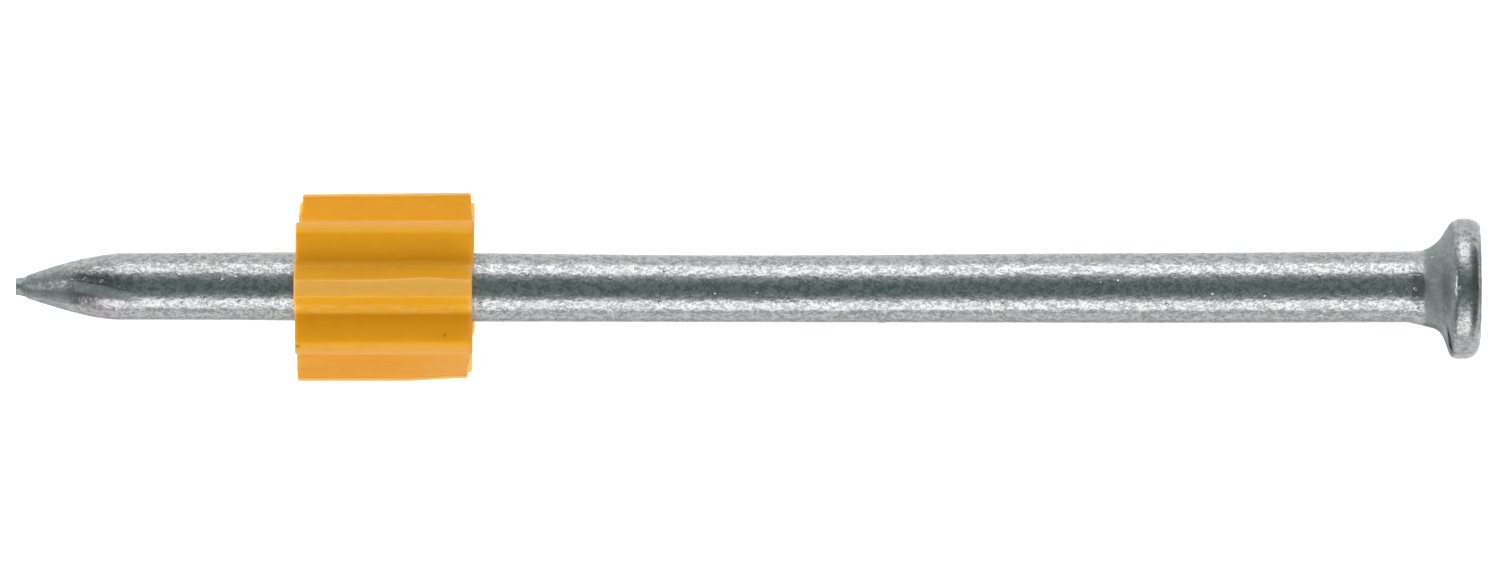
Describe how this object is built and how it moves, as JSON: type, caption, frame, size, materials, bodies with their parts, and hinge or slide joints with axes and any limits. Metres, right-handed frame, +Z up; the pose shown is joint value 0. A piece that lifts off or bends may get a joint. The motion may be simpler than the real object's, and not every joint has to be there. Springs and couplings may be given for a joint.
{
  "type": "powder-actuated drive pin",
  "caption": "Steel drive pin with a ballistic point, a parallel shank and a flared head, carrying a sliding ribbed plastic guide flute.",
  "frame": {"origin": "centre of the head's flat drive face", "axes": "+X along the pin from its point to its head and out of the drive face; +Z up with the pin lying down"},
  "size_m": [0.0801, 0.0104, 0.0102],
  "materials": {
    "zinc_steel": "matt mechanically plated zinc over forged, hardened steel",
    "orange_plastic": "satin moulded plastic, slightly translucent"
  },
  "bodies": {
    "pin": {"drive_pin": "zinc_steel"},
    "flute": {"guide_flute": "orange_plastic"}
  },
  "joints": [
    {"name": "flute_slide", "type": "slide", "parent": "pin", "child": "flute", "axis": [1, 0, 0], "range_m": [-0.0154, 0.051]}
  ]
}
